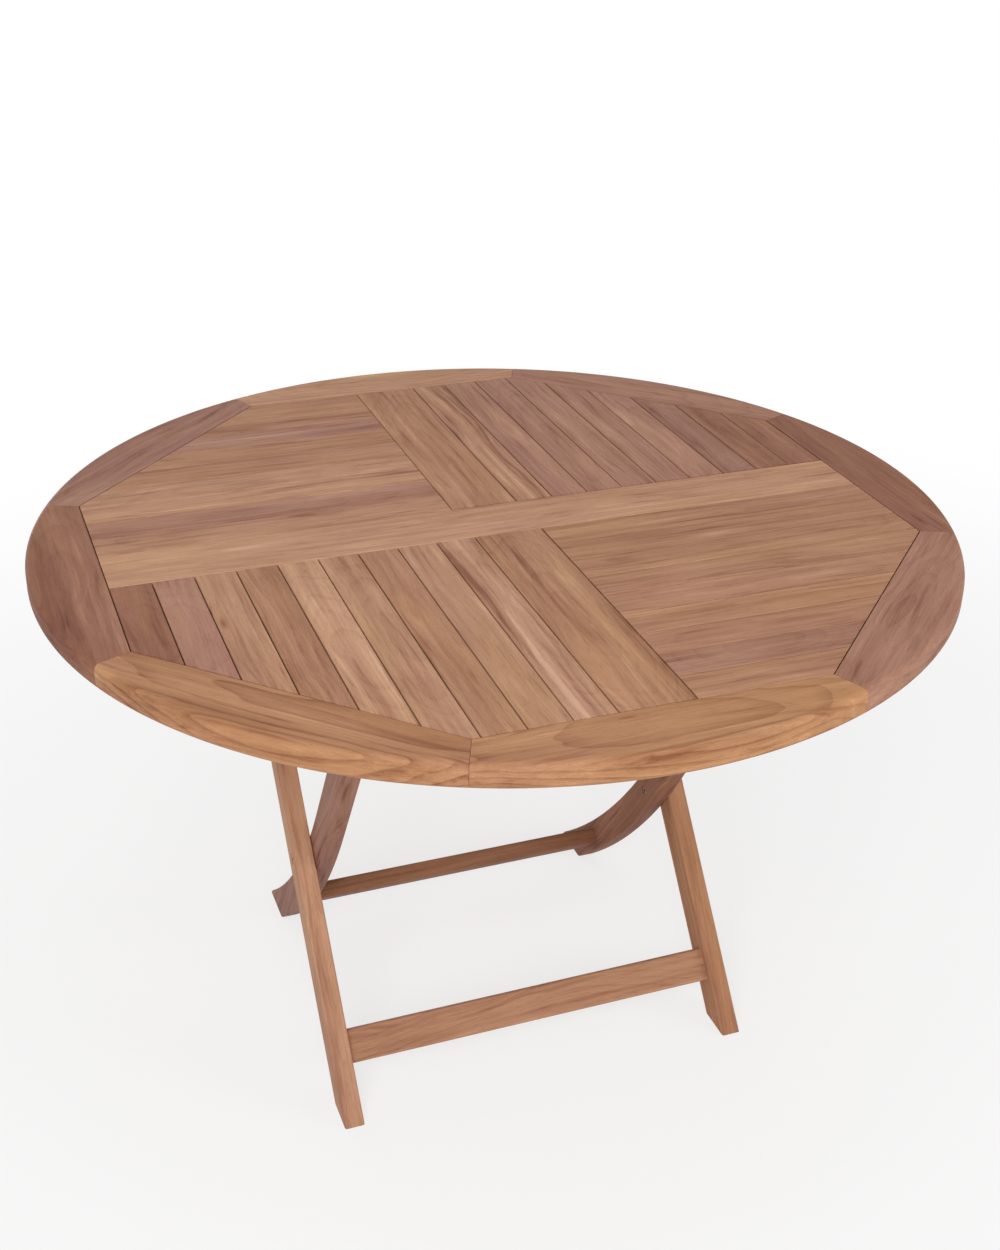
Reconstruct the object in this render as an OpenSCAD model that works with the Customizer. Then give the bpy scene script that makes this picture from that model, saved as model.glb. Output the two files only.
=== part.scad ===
// Round folding picnic table: a slatted hardwood top on two crossed leg frames.
// X runs to the right, Y to the back, Z up. The origin is on the floor, under the middle of the top.

/* [Table top] */
// Outer diameter of the round top
top_d = 1200; // [1000:10:1400]
// Height of the top surface above the floor
table_h = 750; // [700:5:800]
// Width of the rim at the middle of a segment
rim_w = 89; // [75:1:110]
// Thickness of the rim
rim_t = 32; // [28:1:40]
// Rounding of the rim's outer edges
rim_round = 8; // [3:0.5:12]
// Open line at each mitre of the rim
mitre_gap = 0.4; // [0.1:0.1:0.8]
// Thickness of the slats, the rail and the planks
panel_t = 22; // [18:1:26]
// Width of the centre rail and of the cross planks
rail_w = 90; // [60:1:120]
// Slats in each quarter of the top
slat_count = 9; // [6:1:9]
// Open line between neighbouring slats
slat_gap = 1.6; // [1:0.1:4]
// Chamfer on the long edges of the slats
slat_chamfer = 0.8; // [0.4:0.1:2]
// Thickness of the tongues on the ends of the slats
tongue_t = 8; // [5:0.5:10]
// Depth of the grooves that hold the tongues
groove_depth = 10; // [6:0.5:14]
// Clearance round a tongue in its groove
tongue_clear = 0.3; // [0.1:0.1:0.6]

/* [Legs] */
// Thickness of every leg, along the pivots
leg_t = 27.5; // [22:0.5:32]
// Rounding of the legs' long edges
leg_round = 3; // [1:0.5:6]
// Distance from the middle to the inner face of an outer leg
outer_x = 268; // [220:1:290]
// Width of an outer leg
outer_w = 43; // [36:1:50]
// Width of an inner leg
inner_w = 46; // [38:1:52]
// Lean of the straight upper part of the inner legs, in degrees
inner_lean = 32.5; // [28:0.5:36]
// Radius of the sabre bend in the inner legs
sabre_r = 1450; // [1200:10:2200]
// Height above the crossing where the sabre bend starts
bend_rise = 86; // [40:1:140]
// Height of the crossing above the floor
cross_h = 274; // [240:1:310]
// Length cut off the sharp tip of an inner foot
foot_blunt = 6; // [4:0.5:12]
// Side gap between pieces that turn on each other
side_gap = 0.6; // [0.3:0.1:1]

/* [Stretchers and dowel] */
// Height of the stretchers above the floor
stretcher_h = 68; // [55:1:110]
// Size of a stretcher across the leg
stretcher_t = 25; // [18:1:30]
// Size of a stretcher along the leg
stretcher_w = 46; // [34:1:54]
// Depth of the tenons in the legs
tenon_l = 16; // [10:1:20]
// Shoulder round a tenon
tenon_shoulder = 6; // [3:0.5:8]
// Clearance round a tenon in its mortise
tenon_clear = 0.1; // [0.05:0.05:0.3]
// Diameter of the top dowel of the inner legs
dowel_d = 28; // [22:1:32]
// Depth of the dowel's axis below the top surface
dowel_drop = 80; // [74:1:95]

/* [Under the top] */
// Distance of the hinge bolts from the back ends of the long battens
hinge_inset = 60; // [50:1:80]
// Depth of the hinge bolts below the top surface
hinge_drop = 60; // [56:1:70]
// Thickness of the long battens
batten_t = 25; // [20:1:32]
// Depth of the long battens
batten_h = 62; // [56:1:75]
// Length of the bevel at each end of a long batten
bevel_l = 40; // [20:1:45]
// Width of the cross batten
cross_batten_w = 64; // [50:1:90]
// Thickness of the cross batten
cross_batten_t = 22; // [16:1:26]
// Width of a catch block
catch_w = 30; // [20:1:40]
// Distance from the middle to the middle of a catch block
catch_x = 185; // [120:1:205]
// Wall of a catch block beside its notch
catch_wall = 20; // [14:1:28]
// Reach of a catch block below the dowel's axis
catch_reach = 18; // [15:1:24]
// Clearance round the dowel in its notch
catch_clear = 0.5; // [0.3:0.1:0.8]

/* [Pivots] */
// Diameter of the pivot bolts
bolt_d = 8; // [6:0.5:10]
// Diameter of the bolt heads
head_d = 16; // [13:0.5:19]
// Thickness of the bolt heads
head_t = 5; // [3:0.5:6]
// Diameter of the barrel nuts
nut_d = 11.6; // [11:0.1:14]
// Length of the barrel nuts
nut_l = 10; // [6:0.5:12]
// Depth of a head or nut below the face of the wood
sunk = 1; // [0.5:0.5:3]
// Radial running clearance of the bolts
bolt_clear = 0.05; // [0.02:0.01:0.1]
// Clearance round a sunk head or nut
sunk_clear = 0.5; // [0.3:0.1:0.8]

/* [Hidden] */
$fn = 96;
top_r = top_d / 2;
panel_r = top_r - rim_w;
panel_z = table_h - panel_t;
tongue_z = panel_z + (panel_t - tongue_t) / 2;
tongue_reach = groove_depth - tongue_clear;
slat_w = (panel_r - rail_w / 2 - (slat_count + 1) * slat_gap) / slat_count;
octagon_turn = 22.5;
segment_turn = 45;

// Outer legs: straight, from the hinge at the back through the crossing under the middle to the floor
outer_out_x = outer_x + leg_t;
batten_x = outer_out_x + side_gap;
batten_out_x = batten_x + batten_t;
batten_end_gap = 6;
batten_end_y = panel_r * sqrt(2) - batten_out_x - batten_end_gap;
hinge_y = batten_end_y - hinge_inset;
hinge_z = table_h - hinge_drop;
cross_y = 0;
outer_lean = atan((hinge_y - cross_y) / (hinge_z - cross_h));

// Inner legs: a straight upper part, then an arc that flares to the back
inner_out_x = outer_x - side_gap;
inner_x = inner_out_x - leg_t;
function lean_at(z) = asin(sin(inner_lean) + (bend_z - z) / sabre_r);
function arc_y(z) = bend_y + sabre_r * (cos(inner_lean) - cos(lean_at(z)));
bend_z = cross_h + bend_rise;
bend_y = cross_y - sabre_r * (cos(inner_lean) - cos(lean_at(cross_h)));
dowel_z = table_h - dowel_drop;
dowel_y = bend_y - (dowel_z - bend_z) * tan(inner_lean);
foot_margin = 2 * inner_w;
arc_centre_y = bend_y + sabre_r * cos(inner_lean);
arc_centre_z = bend_z + sabre_r * sin(inner_lean);
foot_tip_y = arc_centre_y - sqrt(pow(sabre_r - inner_w / 2, 2) - pow(arc_centre_z, 2));

outer_stretcher_y = hinge_y - (hinge_z - stretcher_h) * tan(outer_lean);
inner_stretcher_y = arc_y(stretcher_h);
tenon_w = stretcher_w - 2 * tenon_shoulder;
tenon_t = stretcher_t - 2 * tenon_shoulder;
dowel_tenon_d = dowel_d - 2 * tenon_shoulder + 2;

bevel_h = batten_h / 2;
catch_top_z = panel_z - cross_batten_t;
catch_back = catch_wall + dowel_d / 2;
nut_pocket = nut_l + sunk;

RIM_SIDES = ["right", "back_right", "back", "back_left", "left", "front_left", "front", "front_right"];
QUARTERS = ["back_right", "back_left", "front_left", "front_right"];
SIDES = ["left", "right"];
function rim_name(k) = str("rim_", RIM_SIDES[k]);
function slat_name(q, i) = str("slat_", QUARTERS[q], "_", i + 1);

NODES = concat(
    [for (k = [0:7]) rim_name(k)],
    ["centre_rail", "cross_plank_front", "cross_plank_back"],
    [for (q = [0:3]) for (i = [0:slat_count - 1]) slat_name(q, i)],
    [for (s = SIDES) str("long_batten_", s)],
    ["cross_batten", "catch_blocks"],
    [for (s = SIDES) str("outer_leg_", s)],
    ["outer_stretcher"],
    [for (s = SIDES) str("inner_leg_", s)],
    ["inner_stretcher", "top_dowel", "pivot_bolts", "pivot_nuts"]
);
node = "all";

TEAK = "#b0835c";
TEAK_LIGHT = "#c0966c";
TEAK_SHADE = "#8c6552";
STEEL = "#8f8a84";

// Turns a side view, drawn with Y to the right and Z up, so that its thickness runs along X
module side_view() rotate([90, 0, 90]) children();

// A rectangle with round corners, centred
module round_rect(w, h, r) {
    square([w - 2 * r, h], center = true);
    square([w, h - 2 * r], center = true);
    for (x = [-1, 1], y = [-1, 1]) translate([x * (w / 2 - r), y * (h / 2 - r)]) circle(r);
}

// A rectangle with chamfered corners, centred
module chamfered_rect(w, h, c) {
    polygon([
        for (corner = [[1, 1, 0], [-1, 1, 1], [-1, -1, 0], [1, -1, 1]])
            for (k = [0, 1])
                let (side = corner[2] == k ? 1 : 0)
                    [corner[0] * (w / 2 - c * (1 - side)), corner[1] * (h / 2 - c * side)]
    ]);
}

// An upright octagonal prism with the given flat-to-middle distance
module octagon(flat, z, h) {
    translate([0, 0, z]) rotate(octagon_turn)
        cylinder(r = flat / cos(octagon_turn), h = h, $fn = 8);
}

// The left or right copy of what is drawn on the right side
module on_side(side) {
    if (side == "left") mirror([1, 0, 0]) children();
    else children();
}

module both_sides() {
    for (side = SIDES) on_side(side) children();
}

// The whole rim as a turned ring, rounded on its outer edges
module rim_disc() {
    translate([0, 0, table_h - rim_t]) rotate_extrude() {
        square([top_r - rim_round, rim_t]);
        translate([0, rim_round]) square([top_r, rim_t - 2 * rim_round]);
        for (z = [rim_round, rim_t - rim_round]) translate([top_r - rim_round, z]) circle(rim_round);
    }
}

// One eighth of the rim: mitred ends, straight inside, with the groove for the tongues
module rim_segment(k) {
    reach = 2 * top_r;
    half = segment_turn / 2;
    inset = mitre_gap / 2 / sin(half);
    color(k % 2 == 0 ? TEAK : TEAK_LIGHT) rotate(k * segment_turn) difference() {
        intersection() {
            rim_disc();
            linear_extrude(table_h + rim_t) translate([inset, 0])
                polygon([[0, 0], reach * [cos(half), -sin(half)], reach * [cos(half), sin(half)]]);
        }
        rotate(-k * segment_turn) {
            octagon(panel_r, 0, 2 * table_h);
            octagon(panel_r + groove_depth, tongue_z - tongue_clear, tongue_t + 2 * tongue_clear);
        }
    }
}

// A board of the panel along Y, chamfered on its long edges
module board(x0, w, y0, y1) {
    translate([x0 + w / 2, y1, panel_z + panel_t / 2]) rotate([90, 0, 0])
        linear_extrude(y1 - y0) chamfered_rect(w, panel_t, slat_chamfer);
}

// The tongue layer of a board along Y
module tongue(x0, w, y0, y1) {
    translate([x0, y0, tongue_z]) cube([w, y1 - y0, tongue_t]);
}

// Slat i of the back right quarter, along Y, cut to the octagon
module slat(i) {
    x0 = rail_w / 2 + slat_gap + i * (slat_w + slat_gap);
    y0 = rail_w / 2 + slat_gap;
    intersection() {
        board(x0, slat_w, y0, panel_r);
        octagon(panel_r - slat_gap, 0, 2 * table_h);
    }
    intersection() {
        tongue(x0, slat_w, rail_w / 2 - tongue_reach, top_r);
        octagon(panel_r + tongue_reach, 0, 2 * table_h);
    }
}

module quarter_slat(q, i) {
    color((q + i) % 2 == 0 ? TEAK : TEAK_LIGHT) rotate(q * 90) slat(i);
}

// Grooves along both long edges of a board that lies on the Y axis
module edge_grooves(y0, y1) {
    for (side = [-1, 1])
        translate([side * rail_w / 2 - groove_depth, y0, tongue_z - tongue_clear])
            cube([2 * groove_depth, y1 - y0, tongue_t + 2 * tongue_clear]);
}

// A board on the Y axis with grooved edges and a tongue past each end
module grooved_board(y0, y1, tongue_y0, tongue_y1) {
    core_w = rail_w - 2 * groove_depth;
    difference() {
        board(-rail_w / 2, rail_w, y0, y1);
        edge_grooves(y0 - 1, y1 + 1);
    }
    tongue(-core_w / 2, core_w, tongue_y0, tongue_y1);
}

module centre_rail() {
    end = panel_r - slat_gap;
    tip = panel_r + tongue_reach;
    color(TEAK_LIGHT) rotate(90) grooved_board(-end, end, -tip, tip);
}

module cross_plank(turn) {
    color(TEAK) rotate(turn)
        grooved_board(rail_w / 2 + slat_gap, panel_r - slat_gap,
            rail_w / 2 - tongue_reach, panel_r + tongue_reach);
}

// A round hole or peg along X at a point of the side view
module along_x(x0, x1, d, y, z) {
    translate([x0, y, z]) rotate([0, 90, 0]) cylinder(d = d, h = x1 - x0);
}

// A long batten on the right: bevelled ends below, bored for the hinge bolt
module long_batten() {
    color(TEAK_SHADE) difference() {
        translate([batten_x, 0, panel_z - batten_h]) side_view() linear_extrude(batten_t)
            polygon([
                [-batten_end_y, batten_h], [-batten_end_y, bevel_h],
                [-batten_end_y + bevel_l, 0], [batten_end_y - bevel_l, 0],
                [batten_end_y, bevel_h], [batten_end_y, batten_h]
            ]);
        along_x(batten_x - 1, batten_out_x + 1, bolt_d + 2 * bolt_clear, hinge_y, hinge_z);
    }
}

module cross_batten() {
    color(TEAK_SHADE) translate([-batten_x, dowel_y - cross_batten_w / 2, catch_top_z])
        cube([2 * batten_x, cross_batten_w, cross_batten_t]);
}

// A block with a notch for the dowel: upright at the front, sloping away at the back
module catch_block() {
    notch_r = dowel_d / 2 + catch_clear;
    slope = notch_r * sqrt(2);
    bottom = -catch_reach;
    run_out = slope - bottom;
    color(TEAK_SHADE) translate([catch_x - catch_w / 2, dowel_y, dowel_z]) side_view()
        linear_extrude(catch_w) difference() {
            translate([-catch_back, bottom]) square([2 * catch_back, catch_top_z - dowel_z - bottom]);
            circle(notch_r);
            polygon([
                [-notch_r, 0], [0, 0], notch_r * [cos(45), sin(45)],
                [run_out + 2, bottom - 2], [-notch_r, bottom - 2]
            ]);
        }
}

// Section of a leg, with its width along the first axis and its thickness along the second
module leg_section(w) round_rect(w, leg_t, leg_round);

// Half of a leg's section, from its middle line outwards, to be turned into a round end
module half_section(w) {
    intersection() {
        leg_section(w);
        translate([0, -leg_t]) square([w, 2 * leg_t]);
    }
}

// The straight upper stretch of a leg and its round end, from a point of the side view upwards;
// a positive lean is to the front
module leg_upper(w, x, y, z, lean, length) {
    translate([x + leg_t / 2, y, z]) rotate([lean, 0, 0]) {
        rotate(90) linear_extrude(length) leg_section(w);
        translate([0, 0, length]) side_view() rotate_extrude(angle = 180) half_section(w);
    }
}

module above_floor() {
    intersection() {
        children();
        translate([-top_r, -top_r, 0]) cube([top_d, top_d, table_h]);
    }
}

// A stretcher's bar or tenon, turned with the leg it joins
module stretcher_bar(x0, x1, w, t, round, y, z, lean) {
    translate([x0, y, z]) rotate([lean, 0, 0]) side_view()
        linear_extrude(x1 - x0) round_rect(t, w, round);
}

module outer_leg() {
    lean = -outer_lean;
    low_y = hinge_y - (hinge_z + foot_margin) * tan(outer_lean);
    length = (hinge_z + foot_margin) / cos(outer_lean);
    color(TEAK_LIGHT) difference() {
        above_floor()
            leg_upper(outer_w, outer_x, low_y, -foot_margin, lean, length);
        along_x(outer_x - 1, outer_out_x + 1, bolt_d + 2 * bolt_clear, hinge_y, hinge_z);
        along_x(outer_x - 1, outer_out_x + 1, bolt_d + 2 * bolt_clear, cross_y, cross_h);
        along_x(outer_x - 1, outer_x + nut_pocket, nut_d + 2 * sunk_clear, hinge_y, hinge_z);
        along_x(outer_out_x - head_t - sunk, outer_out_x + 1, head_d + 2 * sunk_clear, cross_y, cross_h);
        stretcher_bar(outer_x - 1, outer_x + tenon_l + tenon_clear, tenon_w + 2 * tenon_clear,
            tenon_t + 2 * tenon_clear, 1, outer_stretcher_y, stretcher_h, lean);
    }
}

module inner_leg() {
    end_lean = lean_at(0);
    sweep = end_lean - inner_lean + atan(foot_margin / sabre_r);
    top_l = (dowel_z - bend_z) / cos(inner_lean);
    color(TEAK_SHADE) difference() {
        above_floor() {
            leg_upper(inner_w, inner_x, bend_y, bend_z, inner_lean, top_l);
            translate([inner_x + leg_t / 2, bend_y, bend_z]) side_view()
                rotate(180 + inner_lean) translate([-sabre_r, 0]) rotate_extrude(angle = sweep, $fn = 360)
                    translate([sabre_r, 0]) leg_section(inner_w);
        }
        translate([0, foot_tip_y - foot_blunt, -1]) cube([top_r, foot_margin, inner_w]);
        along_x(inner_x - 1, inner_out_x + 1, bolt_d + 2 * bolt_clear, cross_y, cross_h);
        along_x(inner_x - 1, inner_x + nut_pocket + side_gap, nut_d + 2 * sunk_clear, cross_y, cross_h);
        along_x(inner_x - 1, inner_x + tenon_l + tenon_clear, dowel_tenon_d + 2 * tenon_clear,
            dowel_y, dowel_z);
        stretcher_bar(inner_x - 1, inner_x + tenon_l + tenon_clear, tenon_w + 2 * tenon_clear,
            tenon_t + 2 * tenon_clear, 1, inner_stretcher_y, stretcher_h, lean_at(stretcher_h));
    }
}

// A stretcher between two legs whose inner faces are x from the middle
module stretcher(x, y, lean) {
    stretcher_bar(-x, x, stretcher_w, stretcher_t, leg_round, y, stretcher_h, lean);
    stretcher_bar(-x - tenon_l, x + tenon_l, tenon_w, tenon_t, 1, y, stretcher_h, lean);
}

module outer_stretcher() color(TEAK) stretcher(outer_x, outer_stretcher_y, -outer_lean);

module inner_stretcher() color(TEAK) stretcher(inner_x, inner_stretcher_y, lean_at(stretcher_h));

module top_dowel() {
    color(TEAK) {
        along_x(-inner_x, inner_x, dowel_d, dowel_y, dowel_z);
        along_x(-inner_x - tenon_l, inner_x + tenon_l, dowel_tenon_d, dowel_y, dowel_z);
    }
}

// A bolt whose head starts at head_x and whose shank ends inside its nut at nut_x
module bolt(head_x, nut_x, y, z) {
    along_x(head_x, head_x + head_t, head_d, y, z);
    along_x(nut_x, head_x + 1, bolt_d, y, z);
}

module pivot_bolts() {
    color(STEEL) both_sides() {
        bolt(batten_out_x + side_gap, outer_x + sunk, hinge_y, hinge_z);
        bolt(outer_out_x - head_t - sunk, inner_x + sunk, cross_y, cross_h);
    }
}

module nut(x, y, z) {
    difference() {
        along_x(x, x + nut_l, nut_d, y, z);
        along_x(x - 1, x + nut_l + 1, bolt_d + 2 * bolt_clear, y, z);
    }
}

module pivot_nuts() {
    color(STEEL) both_sides() {
        nut(outer_x + sunk, hinge_y, hinge_z);
        nut(inner_x + sunk, cross_y, cross_h);
    }
}

function wanted(name) = node == "all" || node == name;

for (k = [0:7]) if (wanted(rim_name(k))) rim_segment(k);
if (wanted("centre_rail")) centre_rail();
if (wanted("cross_plank_front")) cross_plank(180);
if (wanted("cross_plank_back")) cross_plank(0);
for (q = [0:3], i = [0:slat_count - 1]) if (wanted(slat_name(q, i))) quarter_slat(q, i);
for (s = SIDES) if (wanted(str("long_batten_", s))) on_side(s) long_batten();
if (wanted("cross_batten")) cross_batten();
if (wanted("catch_blocks")) both_sides() catch_block();
for (s = SIDES) if (wanted(str("outer_leg_", s))) on_side(s) outer_leg();
if (wanted("outer_stretcher")) outer_stretcher();
for (s = SIDES) if (wanted(str("inner_leg_", s))) on_side(s) inner_leg();
if (wanted("inner_stretcher")) inner_stretcher();
if (wanted("top_dowel")) top_dowel();
if (wanted("pivot_bolts")) pivot_bolts();
if (wanted("pivot_nuts")) pivot_nuts();
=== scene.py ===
"""Looks of the round folding picnic table: oiled teak, plain bolts and a pale studio floor."""

import math
import random

import bmesh
import bpy
from mathutils import Matrix, Vector


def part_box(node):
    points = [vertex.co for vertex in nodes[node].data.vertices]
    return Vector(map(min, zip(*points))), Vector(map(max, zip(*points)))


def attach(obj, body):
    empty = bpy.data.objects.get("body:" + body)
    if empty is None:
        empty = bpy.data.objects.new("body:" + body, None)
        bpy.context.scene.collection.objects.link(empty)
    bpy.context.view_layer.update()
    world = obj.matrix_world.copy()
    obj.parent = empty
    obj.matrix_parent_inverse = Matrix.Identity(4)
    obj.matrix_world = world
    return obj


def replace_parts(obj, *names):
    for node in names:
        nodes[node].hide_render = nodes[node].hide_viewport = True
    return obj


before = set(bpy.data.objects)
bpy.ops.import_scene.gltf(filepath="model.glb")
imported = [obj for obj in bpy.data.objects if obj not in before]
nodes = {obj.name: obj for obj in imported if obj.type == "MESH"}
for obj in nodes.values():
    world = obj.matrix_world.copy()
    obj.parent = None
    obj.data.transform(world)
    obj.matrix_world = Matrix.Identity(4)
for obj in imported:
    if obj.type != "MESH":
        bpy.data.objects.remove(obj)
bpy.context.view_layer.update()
scene = bpy.context.scene
scene.view_settings.view_transform = "Standard"

MM = 0.001
UP = (0, 0, 1)

# ---- Wood: the boards ----

# Teak tones, as they look on a lit board (sRGB)
TONES = {
    "pale": (187, 142, 114),
    "tan": (179, 135, 108),
    "warm": (172, 127, 99),
    "gold": (174, 127, 94),
    "rose": (166, 122, 103),
    "umber": (154, 112, 96),
    "dusk": (145, 100, 80),
    "cocoa": (143, 100, 77),
}
# The slats of each quarter, from the middle outwards, and the way that they run
SLAT_TONES = {
    "back_right": "tan rose rose rose rose rose umber dusk dusk",
    "back_left": "tan rose pale tan warm warm rose warm warm",
    "front_left": "tan tan warm tan pale warm tan rose dusk",
    "front_right": "warm warm warm warm warm warm warm rose warm",
}
SLATS_ALONG = {
    "back_right": (0, 1, 0),
    "back_left": (1, 0, 0),
    "front_left": (0, 1, 0),
    "front_right": (1, 0, 0),
}
SLAT_FIGURE = 0.45
# Rim segments, counter-clockwise from the right
RIM_TONES = {
    "right": "dusk", "back_right": "rose", "back": "pale", "back_left": "umber",
    "left": "dusk", "front_left": "gold", "front": "gold", "front_right": "rose",
}
RIM_FIGURES = {"front": 1.3, "front_left": 1.2}
PLAIN_RIM_FIGURE = 0.5
RIM_STREAK = 0.8

# Boards with bold stripes, and knots as (place in metres, size, darkness)
BOLD = {
    "slat_front_left_1": 1.9,
    "slat_back_right_1": 1.7,
    "slat_front_right_8": 1.5,
    "slat_back_left_3": 1.5,
}
KNOTS = {
    "slat_front_left_3": [((-0.183, -0.223, 0.75), 0.013, 0.25)],
    "slat_front_left_7": [((-0.399, -0.179, 0.75), 0.010, 0.7)],
    "slat_front_left_8": [((-0.452, -0.150, 0.75), 0.016, 0.1)],
    "slat_front_left_9": [((-0.497, -0.078, 0.75), 0.018, 0.0)],
    "slat_front_right_7": [((0.110, -0.440, 0.75), 0.014, 0.35)],
    "slat_back_right_2": [((0.128, 0.300, 0.75), 0.013, 0.15)],
    "cross_plank_front": [((-0.024, -0.400, 0.75), 0.030, 0.0)],
    "rim_front_left": [((-0.250, -0.478, 0.75), 0.022, 0.1)],
    "rim_front": [((0.190, -0.545, 0.75), 0.024, 0.1)],
    "outer_leg_right": [((0.282, 0.020, 0.275), 0.008, 0.5)],
}
# Boards with paler wood on the side towards the middle of the table, and how much paler
SAPWOOD = {"rim_left": 0.30, "rim_back_left": 0.20}

# Grain directions of the legs, by their lean in the side view
OUTER_LEAN, INNER_LEAN = math.radians(38.9), math.radians(37)
OUTER_UP = Vector((0, math.sin(OUTER_LEAN), math.cos(OUTER_LEAN)))
INNER_UP = Vector((0, -math.sin(INNER_LEAN), math.cos(INNER_LEAN)))

# ---- Wood: the grain ----

# Layers of noise: cycles per metre along and across the grain, detail, roughness, distortion
GRAIN = {
    "zone": (2.4, 16, 2, 0.5, 0.0),
    "patch": (8, 26, 2, 0.5, 0.0),
    "broad": (1.3, 42, 3, 0.6, 0.2),
    "flecks": (9, 115, 1, 0.5, 0.0),
    "bands": (2.2, 150, 2, 0.55, 0.0),
    "lines": (3.5, 420, 2, 0.55, 0.0),
    "fibre": (22, 900, 2, 0.6, 0.0),
    "pores": (70, 1600, 1, 0.5, 0.0),
}
DRIFT_SCALES, DRIFT = (3.0, 10, 10), 0.030
# What each layer adds to the shade of the wood; a board's streak scales the first two
MEAN_SHADE = 0.53
STREAKS = {"broad": 0.95, "bands": 0.58}
TEXTURE = {"patch": 0.55, "lines": 0.38, "fibre": 0.24}
FLECK_DEPTH, RING_DEPTH = 0.75, 0.34
FLECKS = [(0.26, 0.72), (0.40, 0.5), (0.60, 0.5), (0.74, 0.15)]
# Late wood across one growth ring, how far the rings waver, and the strength of the faintest
LATE_WOOD = [(0.0, 0.0), (0.60, 0.10), (0.88, 0.8), (0.96, 1.0), (1.0, 0.1)]
RING_WAVER, FAINTEST_RING = 1.1, 0.25
# Boards sawn flat to the rings: their share, and the figure above which a board always is
FLAT_SAWN_SHARE, FLAT_SAWN_FIGURE = 0.55, 0.8
# Sapwood: where it starts and is full, in metres from the middle of the board, and its waver
SAP_START, SAP_FULL, SAP_WAVER = -0.028, 0.012, 0.06
# Knots: width to length, how far they part the grain, how tight the core is
KNOT_SQUEEZE, KNOT_PUSH, KNOT_CORE = 0.30, 0.8, 6.0
# Shares of the board's tone in a knot's pale halo and dark heart, and how strong the halo is
KNOT_HALO, KNOT_HEART, HALO_STRENGTH = (1.28, 1.27, 1.10), (0.40, 0.30, 0.28), 0.30
# Shares of the board's tone from dark to light, then cool to warm zones, and dark pores
WOOD_SHADES = [
    (0.0, (0.55, 0.44, 0.42)),
    (0.28, (0.82, 0.76, 0.75)),
    (0.5, (1.0, 1.0, 1.0)),
    (0.72, (1.15, 1.20, 1.21)),
    (1.0, (1.44, 1.65, 1.69)),
]
CAST = [(0.30, (0.98, 0.955, 1.0)), (0.5, (1, 1, 0.98)), (0.70, (1.02, 1.02, 0.93))]
SPECKS = [(0.58, (1, 1, 1)), (0.72, (0.80, 0.74, 0.70))]


def linear(srgb):
    return [(c / 255 / 12.92) if c <= 10 else ((c / 255 + 0.055) / 1.055) ** 2.4 for c in srgb]


def grey(stops):
    return [(position, (value, value, value)) for position, value in stops]


class Tree:
    """Short calls for building one material's nodes."""

    def __init__(self, name):
        self.material = bpy.data.materials.new(name)
        self.material.use_nodes = True
        self.take(self.material.node_tree)

    @classmethod
    def over(cls, node_tree):
        tree = cls.__new__(cls)
        tree.take(node_tree)
        return tree

    def take(self, node_tree):
        self.nodes, self.links = node_tree.nodes, node_tree.links
        self.nodes.clear()

    def add(self, kind, inputs=(), **settings):
        node = self.nodes.new("ShaderNode" + kind)
        for key, value in settings.items():
            setattr(node, key, value)
        for key, value in dict(inputs).items():
            if isinstance(value, bpy.types.NodeSocket):
                self.links.new(value, node.inputs[key])
            else:
                node.inputs[key].default_value = value
        return node

    def math(self, operation, a, b=0.0, clamp=False):
        return self.add("Math", {0: a, 1: b}, operation=operation, use_clamp=clamp).outputs[0]

    def swing(self, value, amount):
        """A value about 0.5, as a swing about 0."""
        return self.math("MULTIPLY", self.math("SUBTRACT", value, 0.5), amount)

    def vector(self, operation, a, b):
        return self.add("VectorMath", {0: a, 1: b}, operation=operation).outputs[0]

    def mix(self, blend, fac, a, b):
        inputs = {"Factor": fac, 6: a, 7: b}
        return self.add("Mix", inputs, data_type="RGBA", blend_type=blend).outputs[2]

    def noise(self, vector, scales, detail=2.0, roughness=0.5, distortion=0.0):
        inputs = {"Vector": self.vector("MULTIPLY", vector, scales), "Scale": 1.0,
                  "Detail": detail, "Roughness": roughness, "Distortion": distortion}
        return self.add("TexNoise", inputs).outputs["Fac"]

    def ramp(self, fac, stops):
        node = self.add("ValToRGB", {"Fac": fac})
        elements = node.color_ramp.elements
        while len(elements) < len(stops):
            elements.new(0.5)
        for element, (position, colour) in zip(elements, stops):
            element.position = position
            element.color = (*colour, 1.0)
        return node.outputs["Color"]

    def shown(self, share):
        """share for rays from the camera and in reflections, 0 for the rest."""
        path = self.add("LightPath").outputs
        seen = self.math("MAXIMUM", path["Is Camera Ray"], path["Is Glossy Ray"])
        seen = self.math("MAXIMUM", seen, path["Is Transmission Ray"])
        return self.math("MULTIPLY", seen, share)

    def finish(self, shader_inputs):
        shader = self.add("BsdfPrincipled", shader_inputs)
        self.add("OutputMaterial", {"Surface": shader.outputs[0]})
        return self.material


def grain_turn(along, through):
    """The turn that takes the grain's direction to X and the board's thickness to Z."""
    x = Vector(along).normalized()
    z = (Vector(through) - x * x.dot(Vector(through))).normalized()
    return Matrix((x, z.cross(x), z)).to_euler()


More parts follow.
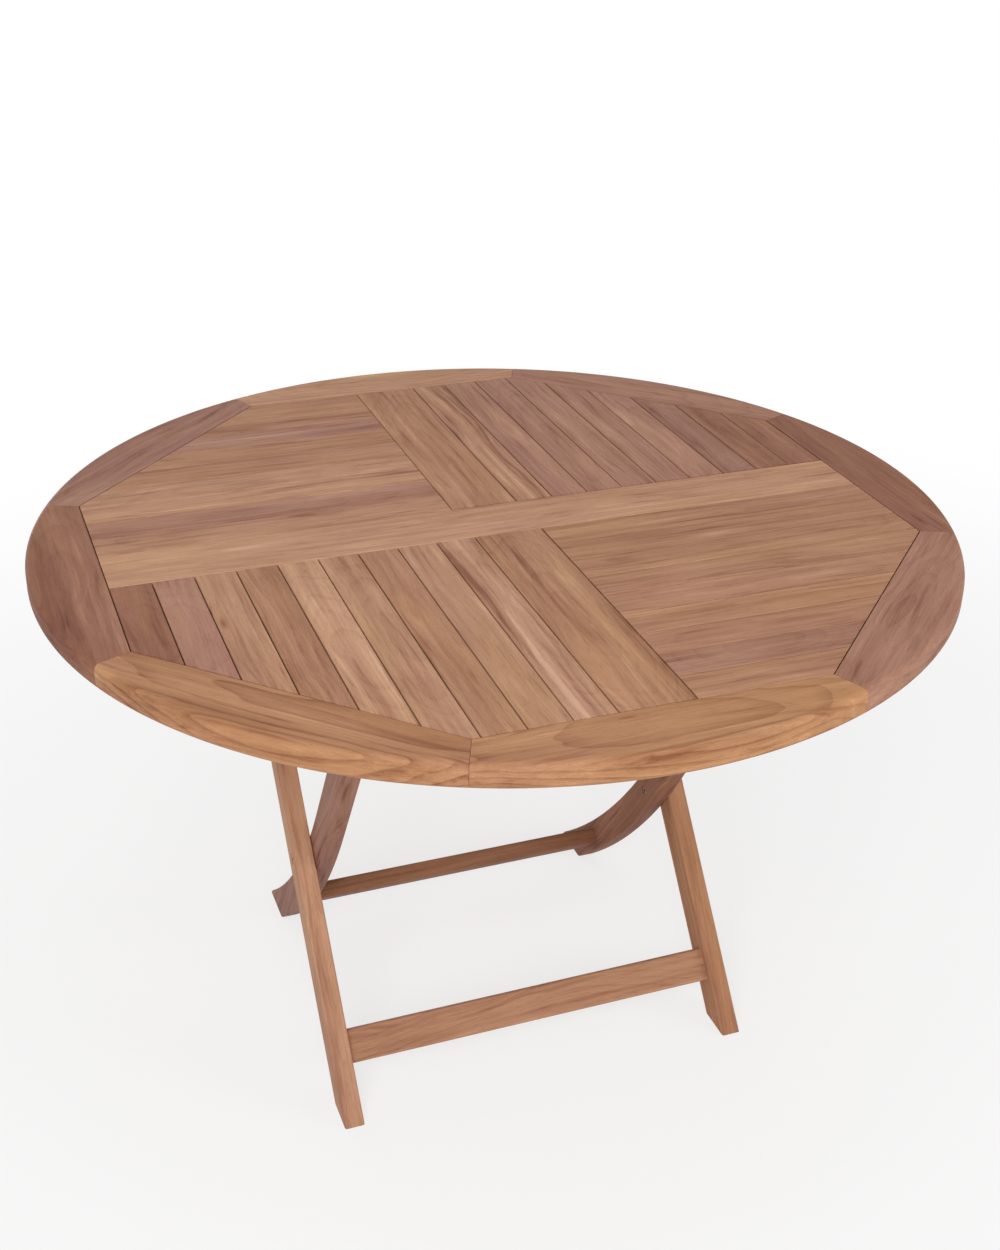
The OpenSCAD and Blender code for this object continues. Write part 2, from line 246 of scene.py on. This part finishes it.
def knots(t, node, local, turn):
    """Part the grain round a board's knots: the new place, and each core, halo and darkness."""
    flow, spots = local, []
    for point, size, dark in KNOTS.get(node, ()):
        off = t.vector("SUBTRACT", local, turn.to_matrix() @ Vector(point))
        oval = t.vector("MULTIPLY", off, (KNOT_SQUEEZE / size, 1 / size, 0))
        square = t.add("VectorMath", {0: oval, 1: oval}, operation="DOT_PRODUCT").outputs["Value"]
        far = t.math("MULTIPLY", square, -1)
        near = t.math("EXPONENT", far)
        push = t.vector("MULTIPLY", off, (0.0, -KNOT_PUSH, -KNOT_PUSH))
        flow = t.vector("ADD", flow, t.vector("MULTIPLY", push, near))
        core = t.math("EXPONENT", t.math("MULTIPLY", far, KNOT_CORE))
        spots.append((core, near, dark))
    return flow, spots


def growth_rings(t, chance, place, half_length, figure, patch):
    """Late wood in shells about a pith line, which is bowed and leaves the board at a small angle.

    place is (along, across, through), from the middle of the board."""
    x, y, z = place
    bow = chance.uniform(0.010, 0.030) / half_length ** 2
    lean = chance.uniform(-0.5, 0.5) * 0.02 / half_length
    swerve = chance.uniform(-0.04, 0.04)
    flat_sawn = chance.random() < FLAT_SAWN_SHARE or figure > FLAT_SAWN_FIGURE
    depth = chance.uniform(0.030, 0.060) if flat_sawn else chance.uniform(0.0, 0.03)
    beside = chance.uniform(-0.015, 0.015) if flat_sawn else chance.uniform(0.05, 0.12)
    spacing = chance.uniform(0.0050, 0.0085)

    rise = t.math("MULTIPLY", x, t.math("ADD", t.math("MULTIPLY", x, bow), lean))
    rise = t.math("ADD", t.math("ADD", z, depth), rise)
    aside = t.math("ADD", t.math("ADD", y, beside), t.math("MULTIPLY", x, swerve))
    shell = t.add("CombineXYZ", {"X": 0.0, "Y": aside, "Z": rise}).outputs[0]
    radius = t.add("VectorMath", {0: shell}, operation="LENGTH").outputs["Value"]
    year = t.math("DIVIDE", radius, spacing)
    year = t.math("ADD", year, t.math("MULTIPLY", patch, RING_WAVER))
    late = t.ramp(t.math("FRACT", year), grey(LATE_WOOD))
    which = {"W": t.math("FLOOR", year)}
    weight = t.add("TexWhiteNoise", which, noise_dimensions="1D").outputs["Value"]
    weight = t.math("ADD", t.math("MULTIPLY", weight, 1 - FAINTEST_RING), FAINTEST_RING)
    return t.math("MULTIPLY", late, weight)


def teak(node, tone, along, through, figure=0.5, streak=1.0):
    """Teak for one board: its grain runs along one direction, and it has its own place in the tree.

    through is the board's thickness, figure is how strong the growth rings show and streak
    how strong the long bands are."""
    chance = random.Random(node)
    t = Tree("teak_" + node)
    base = linear(TONES[tone])
    turn = grain_turn(along, through)
    low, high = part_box(node)
    middle = turn.to_matrix() @ ((low + high) / 2)
    half_length = sum(abs(a) * s for a, s in zip(Vector(along).normalized(), (high - low) / 2))
    place = t.add("TexCoord").outputs["Object"]
    local = t.add("Mapping", {"Vector": place, "Rotation": turn}).outputs[0]
    flow, spots = knots(t, node, local, turn)

    # A slow wander keeps the grain from running dead straight
    shift = [chance.uniform(-3, 3) for _ in range(3)]
    drift = t.swing(t.noise(t.vector("ADD", flow, shift), DRIFT_SCALES), DRIFT)
    wander = t.add("CombineXYZ", {"X": 0.0, "Y": drift, "Z": drift}).outputs[0]
    flow = t.vector("ADD", flow, wander)
    own = t.vector("ADD", flow, shift)
    layer = {name: t.noise(own, (lengthwise, across, across), *kind)
             for name, (lengthwise, across, *kind) in GRAIN.items()}
    x, y, z = t.add("SeparateXYZ", {0: t.vector("SUBTRACT", flow, middle)}).outputs
    late = growth_rings(t, chance, (x, y, z), half_length, figure, layer["patch"])

    shade = MEAN_SHADE
    for name, amount in STREAKS.items():
        shade = t.math("ADD", shade, t.swing(layer[name], amount * streak))
    for name, amount in TEXTURE.items():
        shade = t.math("ADD", shade, t.swing(layer[name], amount))
    short = t.ramp(layer["flecks"], grey(FLECKS))
    shade = t.math("ADD", shade, t.swing(short, FLECK_DEPTH))
    if node in SAPWOOD:
        side = t.math("ADD", y, t.swing(layer["zone"], SAP_WAVER))
        pale = t.add("MapRange", {"Value": side, "From Min": SAP_START, "From Max": SAP_FULL},
                     interpolation_type="SMOOTHSTEP").outputs[0]
        shade = t.math("ADD", shade, t.swing(pale, SAPWOOD[node]))
    shade = t.math("ADD", shade, t.math("MULTIPLY", late, -RING_DEPTH * figure), clamp=True)

    def mixed(shares):
        return [min(1.0, c * share) for c, share in zip(base, shares)]

    colour = t.ramp(shade, [(position, mixed(shares)) for position, shares in WOOD_SHADES])
    colour = t.mix("MULTIPLY", 1.0, colour, t.ramp(layer["zone"], CAST))
    colour = t.mix("MULTIPLY", 1.0, colour, t.ramp(layer["pores"], SPECKS))
    for core, near, dark in spots:
        halo = t.math("MULTIPLY", near, HALO_STRENGTH)
        colour = t.mix("MIX", halo, colour, (*mixed(KNOT_HALO), 1))
        colour = t.mix("MIX", t.math("MULTIPLY", core, dark), colour, (*mixed(KNOT_HEART), 1))
    rough = t.math("ADD", t.math("MULTIPLY", layer["fibre"], 0.2), 0.5)
    height = t.math("SUBTRACT", layer["fibre"], t.math("MULTIPLY", layer["pores"], 0.8))
    bump = t.add("Bump", {"Height": height, "Strength": 0.2, "Distance": 0.0006}).outputs[0]
    return t.finish({"Base Color": colour, "Roughness": rough, "Normal": bump,
                     "Specular IOR Level": 0.10})


def metal(name, base):
    """Worn metal: cloudy in colour and gloss, with fine scratches."""
    t = Tree(name)
    place = t.add("TexCoord").outputs["Object"]
    cloud = t.noise(place, (140, 140, 140), 4, 0.6)
    scratch = t.noise(place, (900, 3000, 3000), 2, 0.5)
    colour = t.ramp(cloud, [(0.3, [c * 0.72 for c in base]), (0.7, base)])
    rough = t.math("ADD", t.math("MULTIPLY", cloud, 0.25), 0.26)
    bump = t.add("Bump", {"Height": scratch, "Strength": 0.08, "Distance": 0.0002}).outputs[0]
    return t.finish({"Base Color": colour, "Roughness": rough, "Metallic": 1.0, "Normal": bump})


def dress(node, material):
    for s in nodes[node].material_slots:
        s.material = material


for quarter, along in SLATS_ALONG.items():
    for i, tone in enumerate(SLAT_TONES[quarter].split()):
        name = f"slat_{quarter}_{i + 1}"
        dress(name, teak(name, tone, along, UP, SLAT_FIGURE, streak=BOLD.get(name, 1.0)))
for name, tone, along, figure, streak in (
    ("centre_rail", "pale", (1, 0, 0), 0.3, 0.8),
    ("cross_plank_front", "warm", (0, 1, 0), 0.4, 1.2),
    ("cross_plank_back", "warm", (0, 1, 0), 0.4, 1.0),
):
    dress(name, teak(name, tone, along, UP, figure, streak))
for k, (side, tone) in enumerate(RIM_TONES.items()):
    turn = math.radians(45 * k + 90)
    name = f"rim_{side}"
    along = (math.cos(turn), math.sin(turn), 0)
    figure = RIM_FIGURES.get(side, PLAIN_RIM_FIGURE)
    dress(name, teak(name, tone, along, UP, figure, RIM_STREAK))
leg_wood = {}
for side, outer_tone, inner_tone in (("left", "pale", "umber"), ("right", "gold", "dusk")):
    outer, inner, batten = f"outer_leg_{side}", f"inner_leg_{side}", f"long_batten_{side}"
    dress(outer, teak(outer, outer_tone, OUTER_UP, (1, 0, 0)))
    leg_wood[side] = teak(inner, inner_tone, INNER_UP, (1, 0, 0), figure=0.4, streak=1.3)
    dress(inner, leg_wood[side])
    dress(batten, teak(batten, "umber", (0, 1, 0), (1, 0, 0)))
for name, tone in (
    ("outer_stretcher", "warm"),
    ("inner_stretcher", "cocoa"),
    ("top_dowel", "rose"),
    ("cross_batten", "umber"),
    ("catch_blocks", "umber"),
):
    dress(name, teak(name, tone, (1, 0, 0), UP))

# ---- Shapes ----


def swept(bm, loops, place, axis, sides=48):
    """Join loops of (distance along the axis, radius by angle) into a closed solid of turning."""
    axis = Vector(axis)
    side = axis.orthogonal().normalized()
    up = axis.cross(side)
    rings = []
    for along, radius in loops:
        ring = []
        for i in range(sides):
            a = math.tau * i / sides
            r = radius(a) if callable(radius) else radius
            out = (side * math.cos(a) + up * math.sin(a)) * r
            ring.append(bm.verts.new(Vector(place) + axis * along + out))
        rings.append(ring)
    for low, high in zip(rings, rings[1:]):
        for i in range(sides):
            j = (i + 1) % sides
            bm.faces.new((low[i], low[j], high[j], high[i]))
    bm.faces.new(rings[0][::-1])
    bm.faces.new(rings[-1])


def hexagon(flats):
    return lambda a: flats / 2 / math.cos((a + math.pi / 6) % (math.pi / 3) - math.pi / 6)


def cross(reach, half):
    def radius(a):
        off = abs((a + math.pi / 4) % (math.pi / 2) - math.pi / 4)
        return min(reach / math.cos(off), half / max(math.sin(off), 1e-6))
    return radius


def scaled(loops):
    """Loops in millimetres, in metres."""
    return [(along * MM, (lambda a, r=r: r(a) * MM) if callable(r) else r * MM)
            for along, r in loops]


def fitted(name, bm, material):
    """Turn a finished bmesh, in the table's frame, into a piece."""
    bmesh.ops.recalc_face_normals(bm, faces=bm.faces)
    mesh = bpy.data.meshes.new(name)
    bm.to_mesh(mesh)
    bm.free()
    mesh.materials.append(material)
    piece = bpy.data.objects.new(name, mesh)
    scene.collection.objects.link(piece)
    return piece


def hardware(name, bm, body, material):
    """A turned fitting that moves with a body, smooth apart from its edges."""
    for face in bm.faces:
        face.smooth = True
    piece = fitted(name, bm, material)
    piece.data.set_sharp_from_angle(angle=math.radians(32))
    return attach(piece, body)


# The curved legs, finely swept with part.scad's sizes (mm)
LEG_W, LEG_T, LEG_ROUND, LEG_X = 46.0, 27.5, 3.0, 239.9
LEAN, SABRE_R, FOOT_BLUNT = math.radians(32.5), 1450.0, 6.0
CROSS_Z, BEND_Z, DOWEL_Z = 274.0, 360.0, 670.0
NUT_POCKET_R, NUT_POCKET_DEPTH, POCKET_START = 6.3, 11.6, -2
ROUND_STEPS, ARC_STEPS, TOP_STEPS = 6, 48, 28


def sabre_leg(side):
    """One curved leg as a closed mesh: straight above, an arc below, a round top, a level foot."""
    lean_cross = math.asin(math.sin(LEAN) + (BEND_Z - CROSS_Z) / SABRE_R)
    bend = Vector((-SABRE_R * (math.cos(LEAN) - math.cos(lean_cross)), BEND_Z))
    centre = bend + SABRE_R * Vector((math.cos(LEAN), math.sin(LEAN)))
    out = Vector((-math.cos(LEAN), -math.sin(LEAN)))
    up = Vector((-math.sin(LEAN), math.cos(LEAN)))
    top = bend + up * (DOWEL_Z - BEND_Z) / math.cos(LEAN)
    blunt_y = centre.x - math.sqrt((SABRE_R - LEG_W / 2) ** 2 - centre.y ** 2) - FOOT_BLUNT
    split = SABRE_R - math.hypot(centre.x - blunt_y, centre.y)

    # The section, as (offset out of the bend, offset across); the front half comes first
    flat, deep = LEG_W / 2 - LEG_ROUND, LEG_T / 2 - LEG_ROUND
    angles = [math.pi / 2 * k / ROUND_STEPS for k in range(ROUND_STEPS + 1)]
    front = [(split, LEG_T / 2)]
    front += [(flat + LEG_ROUND * math.sin(a), deep + LEG_ROUND * math.cos(a)) for a in angles]
    front += [(v, -x) for v, x in reversed(front)]
    section = front + [(-v, x) for v, x in reversed(front)]
    count, half = len(section), len(front)

    bm = bmesh.new()

    def point(yz, x):
        return bm.verts.new((side * (LEG_X + LEG_T / 2 + x) * MM, yz.x * MM, yz.y * MM))

    def on_arc(v, x, share):
        r = SABRE_R + v
        end = min(math.asin(centre.y / r), math.acos(min(1.0, (centre.x - blunt_y) / r)))
        a = LEAN + (end - LEAN) * share
        return point(centre - r * Vector((math.cos(a), math.sin(a))), x)

    loops = [[point(top + out * v, x) for v, x in section]]
    loops += [[on_arc(v, x, k / ARC_STEPS) for v, x in section] for k in range(ARC_STEPS + 1)]
    face_x = LEG_T / 2 - 1e-6
    for upper, lower in zip(loops, loops[1:]):
        for i in range(count):
            j = (i + 1) % count
            face = bm.faces.new((upper[i], upper[j], lower[j], lower[i]))
            face.smooth = min(abs(section[i][1]), abs(section[j][1])) < face_x
    # Round top: each point of the front half turns over to the back half
    turns = []
    steps = [math.pi * k / TOP_STEPS for k in range(1, TOP_STEPS)]
    for i, (v, x) in enumerate(front):
        over = [point(top + v * (out * math.cos(a) + up * math.sin(a)), x) for a in steps]
        turns.append([loops[0][i]] + over + [loops[0][count - 1 - i]])
    for i, (one, two) in enumerate(zip(turns, turns[1:])):
        for k in range(len(one) - 1):
            face = bm.faces.new((one[k], one[k + 1], two[k + 1], two[k]))
            face.smooth = min(abs(front[i][1]), abs(front[i + 1][1])) < face_x
    bm.faces.new(turns[0])
    bm.faces.new(turns[-1])
    # Level foot in front, blunted tip behind
    foot = loops[-1]
    bm.faces.new(foot[:half] + [foot[half], foot[-1]])
    bm.faces.new(foot[half:])
    return bm


def bored(piece, bm):
    """Cut the solid in a bmesh out of a piece."""
    mesh = bpy.data.meshes.new("cutter")
    bmesh.ops.recalc_face_normals(bm, faces=bm.faces)
    bm.to_mesh(mesh)
    bm.free()
    cutter = bpy.data.objects.new("cutter", mesh)
    scene.collection.objects.link(cutter)
    cut = piece.modifiers.new("bore", "BOOLEAN")
    cut.operation, cut.solver, cut.object = "DIFFERENCE", "EXACT", cutter
    result = piece.evaluated_get(bpy.context.evaluated_depsgraph_get())
    piece.data = bpy.data.meshes.new_from_object(result)
    piece.modifiers.clear()
    bpy.data.objects.remove(cutter)


for name, side in (("left", -1), ("right", 1)):
    leg = fitted(f"sabre_leg_{name}", sabre_leg(side), leg_wood[name])
    pocket = bmesh.new()
    swept(pocket, scaled([(POCKET_START, NUT_POCKET_R), (NUT_POCKET_DEPTH, NUT_POCKET_R)]),
          (side * LEG_X * MM, 0, CROSS_Z * MM), (side, 0, 0))
    bored(leg, pocket)
    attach(leg, "inner_legs")
    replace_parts(leg, f"inner_leg_{name}")

# Bolts and nuts, where part.scad has them: (y, z) of the bolt, face of its head, face of its nut
HINGE = ((0.335563, 0.690), 326.7 * MM, 269.0 * MM)
CROSSING = ((0.0, 0.274), 294.5 * MM, 240.9 * MM)
# Turned forms in millimetres, from the socket outwards and round to the back
HEAD_T, SHANK_R, SHANK_SHORT, SHANK_CHAMFER = 5.0, 4.0, 4.0, 0.4
HEAD = [(-2.9, 0.4), (-2.4, hexagon(4.8)), (-0.2, hexagon(5.0)), (0, hexagon(5.5)), (0, 3.9),
        (-0.3, 5.4), (-1.0, 6.8), (-2.0, 7.6), (-3.2, 8.0), (-4.7, 8.0), (-HEAD_T, 7.7),
        (-HEAD_T, SHANK_R)]
NUT = [(-3.4, 0.4), (-3.0, hexagon(4.8)), (-0.2, hexagon(5.0)), (0, hexagon(5.4)), (0, 4.6),
       (-0.25, 5.4), (-0.7, 5.8), (-9.8, 5.8), (-10, 5.6), (-10, 3.9)]
WASHER = [(0, 4.3), (0, 9.8), (-0.1, 10), (-0.4, 10), (-0.5, 9.8), (-0.5, 4.3)]
SCREW = [(-1.3, 0.3), (-1.1, cross(0.9, 0.3)), (0.2, cross(2.3, 0.65)), (0.2, 3.5), (0.1, 3.9),
         (0, 4.0), (-2.4, 1.9), (-2.4, 0.4)]
# Screw places in metres: along a long batten, and along and in from the edges of the cross batten
LONG_BATTEN_SCREWS = (-0.31, -0.17, -0.03, 0.11, 0.25)
CROSS_BATTEN_SCREWS, SCREW_INSET = (-0.26, -0.10, 0.10, 0.26), 15 * MM

bronze = metal("bronze", [0.36, 0.28, 0.22])
bolts, nuts, washers = bmesh.new(), bmesh.new(), bmesh.new()
for (y, z), head_x, nut_x in (HINGE, CROSSING):
    for side in (-1, 1):
        end = nut_x - head_x + SHANK_SHORT * MM
        chamfer = SHANK_CHAMFER * MM
        shank = [(end, SHANK_R * MM), (end - chamfer, SHANK_R * MM - chamfer)]
        swept(bolts, scaled(HEAD) + shank, (side * head_x, y, z), (side, 0, 0))
        swept(nuts, scaled(NUT), (side * nut_x, y, z), (-side, 0, 0))
(y, z), head_x, _ = HINGE
for side in (-1, 1):
    swept(washers, scaled(WASHER), (side * (head_x - HEAD_T * MM), y, z), (side, 0, 0))
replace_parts(hardware("bolts", bolts, "outer_legs", bronze), "pivot_bolts")
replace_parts(hardware("nuts", nuts, "outer_legs", bronze), "pivot_nuts")
hardware("hinge_washers", washers, "outer_legs", bronze)

# Countersunk screws up through the battens
screws = bmesh.new()
for batten in ("long_batten_left", "long_batten_right"):
    low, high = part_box(batten)
    for y in LONG_BATTEN_SCREWS:
        swept(screws, scaled(SCREW), ((low.x + high.x) / 2, y, low.z), (0, 0, -1))
low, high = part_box("cross_batten")
for x in CROSS_BATTEN_SCREWS:
    for y in (low.y + SCREW_INSET, high.y - SCREW_INSET):
        swept(screws, scaled(SCREW), (x, y, low.z), (0, 0, -1))
hardware("batten_screws", screws, "tabletop", metal("screw_steel", [0.52, 0.49, 0.44]))

# ---- Studio ----

# Floor: takes the shadow, and is nearly white to the camera and in reflections, all white far away
FLOOR_EDGE, FLOOR_DROP, FLOOR_GREY = 30.0, -0.0005, 0.88
NEAR, FAR, WHITE_NEAR = 0.9, 2.6, 0.70
floor_tree = Tree("floor_white")
from_middle = floor_tree.add("TexCoord").outputs["Object"]
reach = floor_tree.add("VectorMath", {0: from_middle}, operation="LENGTH").outputs["Value"]
fade = {"Value": reach, "From Min": NEAR, "From Max": FAR, "To Min": WHITE_NEAR, "To Max": 1.0}
white = floor_tree.add("MapRange", fade, interpolation_type="SMOOTHSTEP").outputs[0]
lit = floor_tree.add("BsdfDiffuse", {"Color": (FLOOR_GREY, FLOOR_GREY, FLOOR_GREY, 1)}).outputs[0]
glow = floor_tree.add("Emission", {"Color": (1, 1, 1, 1), "Strength": 1.0}).outputs[0]
floor_mix = floor_tree.add("MixShader", {0: floor_tree.shown(white), 1: lit, 2: glow}).outputs[0]
floor_tree.add("OutputMaterial", {"Surface": floor_mix})
floor_mesh = bpy.data.meshes.new("floor")
corners = [(x * FLOOR_EDGE, y * FLOOR_EDGE, 0) for x, y in ((-1, -1), (1, -1), (1, 1), (-1, 1))]
floor_mesh.from_pydata(corners, [], [(0, 1, 2, 3)])
floor_mesh.materials.append(floor_tree.material)
floor = bpy.data.objects.new("floor", floor_mesh)
floor.location.z = FLOOR_DROP
scene.collection.objects.link(floor)

# World: an even studio, white to the camera and in reflections
WORLD_LIGHT = 0.38
scene.world = bpy.data.worlds.new("studio")
scene.world.use_nodes = True
sky = Tree.over(scene.world.node_tree)
strength = sky.math("ADD", sky.shown(1 - WORLD_LIGHT), WORLD_LIGHT)
background = sky.add("Background", {"Color": (1, 1, 1, 1), "Strength": strength}).outputs[0]
sky.add("OutputWorld", {"Surface": background})

# Area lamps: place, aim, size and watts
LAMPS = {
    "key": ((-1.6, -2.9, 2.4), (0, 0, 0.6), (2.2, 1.8), 88),
    "fill": ((2.6, -2.0, 1.2), (0, 0, 0.5), (1.6, 1.6), 26),
    "back": ((-0.4, 3.2, 0.6), (0, 0, 0.4), (2.4, 0.8), 26),
    "top": ((0.1, 0.2, 3.4), (0, 0, 0.7), (3.0, 3.0), 20),
}
for name, (place, aim, size, power) in LAMPS.items():
    light = bpy.data.lights.new(name, "AREA")
    light.shape = "RECTANGLE"
    light.size, light.size_y = size
    light.energy = power
    lamp = bpy.data.objects.new(name, light)
    lamp.location = place
    lamp.rotation_euler = (Vector(aim) - Vector(place)).to_track_quat("-Z", "Y").to_euler()
    scene.collection.objects.link(lamp)

# Camera at the photograph's place; the focal length is in widths of the picture
CAMERA_AT, FOCAL, SENSOR = (-0.7043, -1.9116, 1.6638), 1.698, 36
YAW, PITCH, ROLL = (math.radians(a) for a in (20.43, 27.744, 0.854))
forward = Vector((math.sin(YAW) * math.cos(PITCH), math.cos(YAW) * math.cos(PITCH),
                  -math.sin(PITCH)))
right = Vector((math.cos(YAW), -math.sin(YAW), 0))
upward = right.cross(forward)
cam_x = math.cos(ROLL) * right + math.sin(ROLL) * upward
cam_y = -math.sin(ROLL) * right + math.cos(ROLL) * upward
cam_data = bpy.data.cameras.new("camera")
cam_data.sensor_fit = "HORIZONTAL"
cam_data.sensor_width = SENSOR
cam_data.lens = SENSOR * FOCAL
camera = bpy.data.objects.new("camera", cam_data)
look = Matrix((cam_x, cam_y, -forward)).transposed()
camera.matrix_world = Matrix.Translation(CAMERA_AT) @ look.to_4x4()
scene.collection.objects.link(camera)
scene.camera = camera
